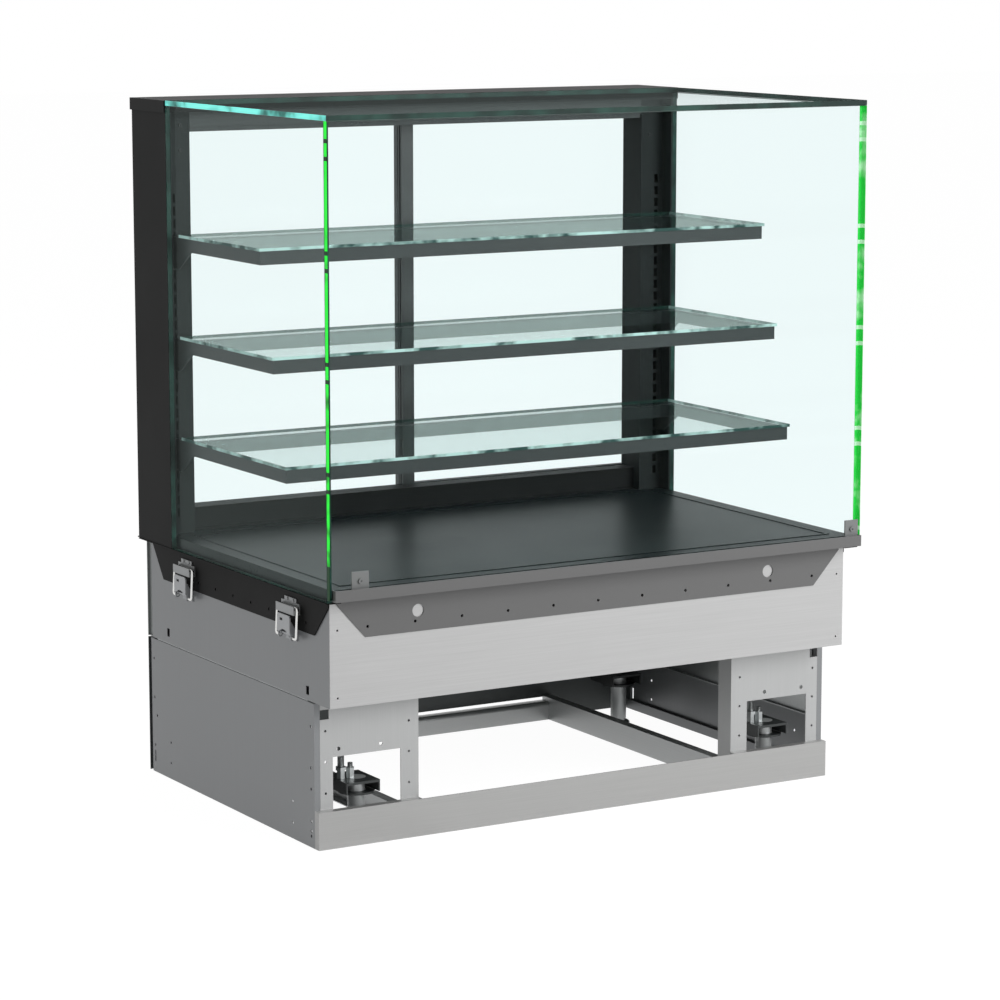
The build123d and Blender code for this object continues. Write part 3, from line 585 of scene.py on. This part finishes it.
# The grey of the lever plates and latch bases is painted shade of plates turned from the light.
SHADED_LEVER_STEEL = PlatedSteel("latch_lever_plate_painted_shade", "#A6A8AA", 0.4, 0.6)
KEEPER_STEEL = PlatedSteel("grey_latch_keeper_plate", "#9A9C9D", 0.42, 0.6)
SCREW_BLACK = PlatedSteel("blackened_post_screw", "#101212", 0.4, 0.5)
SPINDLE_THREAD = ThreadedSteel("zinc_plated_spindle_thread", "#B9BDBD")
ZINC = PlatedSteel("zinc_plated_leveller_steel", "#B4B8B8", 0.35)
BRACKET_STEEL = CollaredSteel("leveller_bracket_steel", "#3A3D3D", "#B9BCBC")
CLAMP_COAT = PowderCoat("grey_clamp_coat", "#767878", 0.4)
PANE_GLASS = FloatGlass("clear_float_glass", mirror="#C6D2CE", index=1.11)
TOP_GLASS = FloatGlass("clear_float_glass_top_sheet", mirror="#8A9492", index=1.003)
DOOR_GLASS = FloatGlass("clear_float_glass_of_the_doors", mirror="#C0C8C6", index=1.12)
# Every glass edge below emits a painted glow, which is painted light.
EDGE_AQUA = GlassEdge("glass_edge_aqua_painted_glow", "#7FF5E8", "#2A6A62", 0.7, bias=0.42)
EDGE_GREEN = GlassEdge("glass_edge_green_painted_glow", "#22E63A", "#0C3016", 0.8, stretch_mm=60.0, bias=0.60,
                       lean=0.13, rise=0.16, dark_below=560 * MM, rails=True)
EDGE_LEAF = GlassEdge("glass_edge_leaf_green_painted_glow", "#2AC444", "#BCE2BE", 0.42, stretch_mm=70.0, bias=0.41,
                      rails=True)
EDGE_TEAL = GlassEdge("glass_edge_dark_teal_painted_glow", "#2A4A42", "#1C2E2A", 0.1)
EDGE_PALE = GlassEdge("glass_edge_pale_painted_glow", "#B4D2CC", "#2C4844", 0.3, stretch_mm=60.0, bias=0.5)


class Paint:
    """Keeps one made material for each finish."""

    def __init__(self) -> None:
        """Start with no material made."""
        self.made: dict[str, bpy.types.Material] = {}

    def of(self, finish: Finish) -> bpy.types.Material:
        """Give the material of a finish, made on first use.

        Args:
            finish: The finish.

        Returns:
            Its material.
        """
        if finish.name not in self.made:
            self.made[finish.name] = finish.make()
        return self.made[finish.name]

    def coat(self, frame: dict, finish: Finish, *nodes: str) -> None:
        """Dress CAD nodes in one finish.

        Args:
            finish: The finish to use.
            nodes: Names of the CAD nodes.
        """
        for node in nodes:
            for place in frame["nodes"][node].material_slots:
                place.material = self.of(finish)
            LOG.info("node %s: %s", node, finish.name)


PAINT = Paint()


def piece_from(name: str, mesh: bmesh.types.BMesh, finishes: list[Finish], body: str) -> bpy.types.Object:
    """Turn a bmesh into a finished piece on a CAD body.

    Args:
        name: Name of the piece.
        mesh: The finished bmesh; it is freed.
        finishes: Finishes in the order of the faces' material numbers.
        body: The CAD body that it rides on.

    Returns:
        The new object.
    """
    data = bpy.data.meshes.new(name)
    mesh.normal_update()
    mesh.to_mesh(data)
    mesh.free()
    thing = bpy.data.objects.new(name, data)
    bpy.context.scene.collection.objects.link(thing)
    for finish in finishes:
        data.materials.append(PAINT.of(finish))
    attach(thing, body)
    LOG.info("piece %s on %s", name, body)
    return thing


def block(low: Vector, high: Vector, ease: float) -> bmesh.types.BMesh:
    """Make a box between two corners, with its edges eased.

    Args:
        low: Lowest corner.
        high: Highest corner.
        ease: Width of the eased edges.

    Returns:
        The box as a bmesh.
    """
    mesh = bmesh.new()
    bmesh.ops.create_cube(mesh, size=1.0)
    bmesh.ops.scale(mesh, vec=high - low, verts=mesh.verts)
    bmesh.ops.translate(mesh, vec=(low + high) / 2, verts=mesh.verts)
    bmesh.ops.bevel(mesh, geom=mesh.edges[:], offset=ease, segments=2, profile=0.5, affect="EDGES",
                    material=-1)
    return mesh


@dataclass(frozen=True)
class Edges:
    """Finish of each of a pane's edges, named as a customer in front of the case sees them.

    The level edges are the upper and the lower one of an upright pane.
    """

    left: GlassEdge = EDGE_TEAL
    right: GlassEdge = EDGE_TEAL
    front: GlassEdge = EDGE_TEAL
    rear: GlassEdge = EDGE_TEAL
    level: GlassEdge = EDGE_TEAL

    def in_order(self) -> list[GlassEdge]:
        """List the finishes in the order of their numbers.

        Returns:
            Two for each axis across the ground, and one for both level edges.
        """
        return [self.left, self.right, self.front, self.rear, self.level]

    def number(self, normal: Vector, thin_axis: int) -> int:
        """Tell which edge finish a face takes.

        Args:
            normal: The face's normal.
            thin_axis: The axis across the pane's thickness.

        Returns:
            0 for the sheet itself, or the finish's number counted from 1.
        """
        size = [abs(v) for v in normal]
        if size[thin_axis] > SHEET_FACE:
            return 0
        size[thin_axis] = -1.0
        axis = size.index(max(size))
        if axis == Z:
            return len(self.in_order())
        return 1 + 2 * axis + (1 if normal[axis] > 0 else 0)


@dataclass
class Pane:
    """One sheet of glass with its own edge colours."""

    node: str
    body: str
    slot: str
    thin_axis: int
    sheet: FloatGlass = PANE_GLASS
    edges: Edges = Edges()
    ease: float = 0.8 * MM

    def build(self) -> bpy.types.Object:
        """Build the pane in place of its CAD node.

        Returns:
            The new pane.
        """
        low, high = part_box(self.node)
        mesh = block(Vector(low), Vector(high), self.ease)
        mesh.normal_update()
        for face in mesh.faces:
            face.material_index = self.edges.number(face.normal, self.thin_axis)
        finishes = [self.sheet, *self.edges.in_order()]
        thing = piece_from(self.node + "_pane", mesh, finishes, self.body)
        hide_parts(self.node)
        return thing


@dataclass
class GlassHood:
    """The panes of the hood and their clamps."""

    frame: dict

    def build(self) -> None:
        """Build the panes and dress the clamps."""
        Pane("glass_top", "case", "clear_glass", Z, TOP_GLASS, Edges(left=EDGE_AQUA)).build()
        Pane("glass_front", "case", "clear_glass", Y, edges=Edges(EDGE_GREEN, EDGE_LEAF)).build()
        Pane("glass_left", "case", "clear_glass", X).build()
        Pane("glass_right", "case", "clear_glass", X, edges=Edges(front=EDGE_LEAF)).build()
        PAINT.coat(self.frame, CLAMP_COAT, "glass_clamps")


@dataclass
class Shelves:
    """Three glass shelves on coated frames."""

    frame: dict
    places: tuple[str, ...] = ("bottom", "middle", "top")

    def build(self) -> None:
        """Build the shelf glass and dress the frames."""
        for place in self.places:
            Pane("shelf_glass_" + place, "case", "clear_glass", Z,
                 edges=Edges(EDGE_PALE, EDGE_PALE, EDGE_PALE), ease=0.5 * MM).build()
            PAINT.coat(self.frame, SHELF_COAT, "shelf_frame_" + place)


@dataclass
class Doors:
    """Two sliding doors."""

    frame: dict

    def build(self) -> None:
        """Build the door panes and dress the frames."""
        for side in ("left", "right"):
            Pane("door_pane_" + side, "door_" + side, "door_glass", Y, DOOR_GLASS, ease=0.3 * MM).build()
            PAINT.coat(self.frame, DOOR_ALUMINIUM, "door_frame_" + side)


@dataclass
class Housing:
    """Black rear housing of posts, header, cap, sill and tracks."""

    frame: dict

    def build(self) -> None:
        """Dress the housing nodes."""
        PAINT.coat(self.frame, HOUSING_COAT, "top_cap", "sill", "door_track_top", "door_track_bottom")
        PAINT.coat(self.frame, POST_COAT, "post_left", "post_right")
        PAINT.coat(self.frame, HEADER_COAT, "header")


@dataclass
class Body:
    """Band, skirts and deck."""

    frame: dict

    def build(self) -> None:
        """Dress the body nodes."""
        PAINT.coat(self.frame, FRONT_STEEL, "band_front")
        PAINT.coat(self.frame, SHADED_SIDE_STEEL, "band_left", "band_right")
        PAINT.coat(self.frame, INNER_STEEL, "band_rear", "body_pan")
        PAINT.coat(self.frame, SHEEN_APRON_COAT, "front_apron")
        PAINT.coat(self.frame, SIDE_COAT, "side_apron_left", "side_apron_right")
        PAINT.coat(self.frame, DECK_COAT, "deck")
        PAINT.coat(self.frame, SCREW_BLACK, "post_screws")


@dataclass
class Base:
    """Stainless base with its open bays."""

    frame: dict

    def build(self) -> None:
        """Dress the base nodes."""
        PAINT.coat(self.frame, SHADED_SIDE_STEEL, "base_side_left", "base_side_right")
        PAINT.coat(self.frame, BAY_STEEL, "bay_panel_left", "bay_panel_right")
        PAINT.coat(self.frame, KICK_STEEL, "kick_band")
        PAINT.coat(self.frame, RAIL_STEEL, "inner_rail_left", "inner_rail_right", "rear_rail")
        PAINT.coat(self.frame, SHADED_REAR_STEEL, "rear_base_panel")
        PAINT.coat(self.frame, STIFFENER_STEEL, "side_stiffeners")


@dataclass
class Levellers:
    """Four levelling feet with their brackets and nuts."""

    frame: dict

    def build(self) -> None:
        """Dress the leveller nodes."""
        PAINT.coat(self.frame, BRACKET_STEEL, "leveller_brackets")
        PAINT.coat(self.frame, ZINC, "leveller_nuts")
        PAINT.coat(self.frame, SPINDLE_THREAD, "leveller_rods")
        for corner in CORNERS:
            PAINT.coat(self.frame, SPINDLE_THREAD, "levelling_foot_" + corner)


@dataclass
class Latches:
    """Four draw latches."""

    frame: dict

    def build(self) -> None:
        """Dress the latch nodes."""
        PAINT.coat(self.frame, SHADED_LEVER_STEEL, "latch_bases")
        PAINT.coat(self.frame, KEEPER_STEEL, "latch_keepers")
        for corner in CORNERS:
            PAINT.coat(self.frame, SHADED_LEVER_STEEL, "latch_lever_" + corner)
            PAINT.coat(self.frame, LATCH_STEEL, "latch_loop_" + corner)


@dataclass
class Studio:
    """Pale floor, soft lamps, white background and the camera."""

    lens_mm: float = 123.33
    sensor_mm: float = 36.0
    far: float = 100.0
    yaw: float = -0.532
    pitch: float = 0.162
    place: tuple[float, float, float] = (-3.4789, -5.5036 - ORIGIN_Y, 1.69905)
    aim: tuple[float, float, float] = (0.0, 0.0, 0.7)
    world_light: float = 0.25
    floor_reach: float = 30.0
    floor_paper: str = "#F2F2F2"
    floor_glow: float = 1.12
    floor_glow_share: float = 0.86

    def build(self) -> None:
        """Build the whole studio."""
        self.camera()
        self.floor()
        self.world()
        self.lamp("key_softbox", place=(2.6, -4.6, 2.6), size=3.0, power=215.0)
        self.lamp("top_softbox", place=(0.0, 0.4, 4.4), size=3.0, power=50.0)
        bpy.context.scene.view_settings.view_transform = "Standard"

    def camera(self) -> None:
        """Place the camera at the solved view of the photograph."""
        data = bpy.data.cameras.new("photo_camera")
        data.sensor_width = self.sensor_mm
        data.lens = self.lens_mm
        data.clip_end = self.far
        thing = bpy.data.objects.new("photo_camera", data)
        thing.location = self.place
        thing.rotation_euler = (math.pi / 2 - self.pitch, 0.0, self.yaw)
        bpy.context.scene.collection.objects.link(thing)
        bpy.context.scene.camera = thing

    def floor(self) -> None:
        """Lay the pale floor, whose paper glows nearly white where it is looked at."""
        mesh = bmesh.new()
        bmesh.ops.create_grid(mesh, x_segments=1, y_segments=1, size=self.floor_reach)
        data = bpy.data.meshes.new("floor")
        mesh.to_mesh(data)
        mesh.free()
        thing = bpy.data.objects.new("floor", data)
        bpy.context.scene.collection.objects.link(thing)
        material, tree, output = blank_material("pale_floor_paper")
        matte = add_node(tree, "ShaderNodeBsdfDiffuse", {}, {"Color": linear(self.floor_paper)})
        glow = add_node(tree, "ShaderNodeEmission", {}, {"Color": WHITE, "Strength": self.floor_glow})
        share = add_node(tree, "ShaderNodeMath", {"operation": "MULTIPLY"},
                         {0: self.shown(tree).outputs[0], 1: self.floor_glow_share})
        both = add_node(tree, "ShaderNodeMixShader", {},
                        {0: share.outputs[0], 1: matte.outputs[0], 2: glow.outputs[0]})
        tree.links.new(both.outputs[0], output.inputs["Surface"])
        data.materials.append(material)

    @staticmethod
    def shown(tree: bpy.types.NodeTree) -> bpy.types.Node:
        """Tell the rays that show the white room from the rays that only carry light.

        Args:
            tree: The node tree that gets the nodes.

        Returns:
            The node whose output is one for camera, mirror and glass rays, and zero for the others.
        """
        path = add_node(tree, "ShaderNodeLightPath")
        clear = add_node(tree, "ShaderNodeMath", {"operation": "MAXIMUM"},
                         {0: path.outputs["Is Camera Ray"], 1: path.outputs["Is Transmission Ray"]})
        return add_node(tree, "ShaderNodeMath", {"operation": "MAXIMUM"},
                        {0: clear.outputs[0], 1: path.outputs["Is Glossy Ray"]})

    def world(self) -> None:
        """Light the room evenly and show it white to camera, mirror and glass rays."""
        made = bpy.data.worlds.new("studio_room")
        bpy.context.scene.world = made
        made.use_nodes = True
        tree = made.node_tree
        tree.nodes.clear()
        output = add_node(tree, "ShaderNodeOutputWorld")
        light = add_node(tree, "ShaderNodeBackground", {}, {"Color": WHITE, "Strength": self.world_light})
        white = add_node(tree, "ShaderNodeBackground", {}, {"Color": WHITE, "Strength": 1.0})
        both = add_node(tree, "ShaderNodeMixShader", {},
                        {0: self.shown(tree).outputs[0], 1: light.outputs[0], 2: white.outputs[0]})
        tree.links.new(both.outputs[0], output.inputs["Surface"])

    def lamp(self, name: str, place: tuple[float, float, float], size: float, power: float) -> None:
        """Hang one square softbox that looks at the middle of the case.

        Args:
            name: Name of the lamp.
            place: Where it hangs, in metres.
            size: Its side, in metres.
            power: Its power, in watts.
        """
        data = bpy.data.lights.new(name, "AREA")
        data.size = size
        data.energy = power
        thing = bpy.data.objects.new(name, data)
        thing.location = place
        towards = Vector(self.aim) - Vector(place)
        thing.rotation_euler = towards.to_track_quat("-Z", "Y").to_euler()
        bpy.context.scene.collection.objects.link(thing)


def main() -> None:
    """Build the case from the floor up, then the studio."""
    logging.basicConfig(level=logging.INFO, format="%(message)s")
    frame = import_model()
    for part in (Base, Levellers, Body, Latches, GlassHood, Shelves, Housing, Doors):
        LOG.info("building %s", part.__name__)
        part(frame).build()
    Studio().build()


if __name__ == "__main__":
    main()
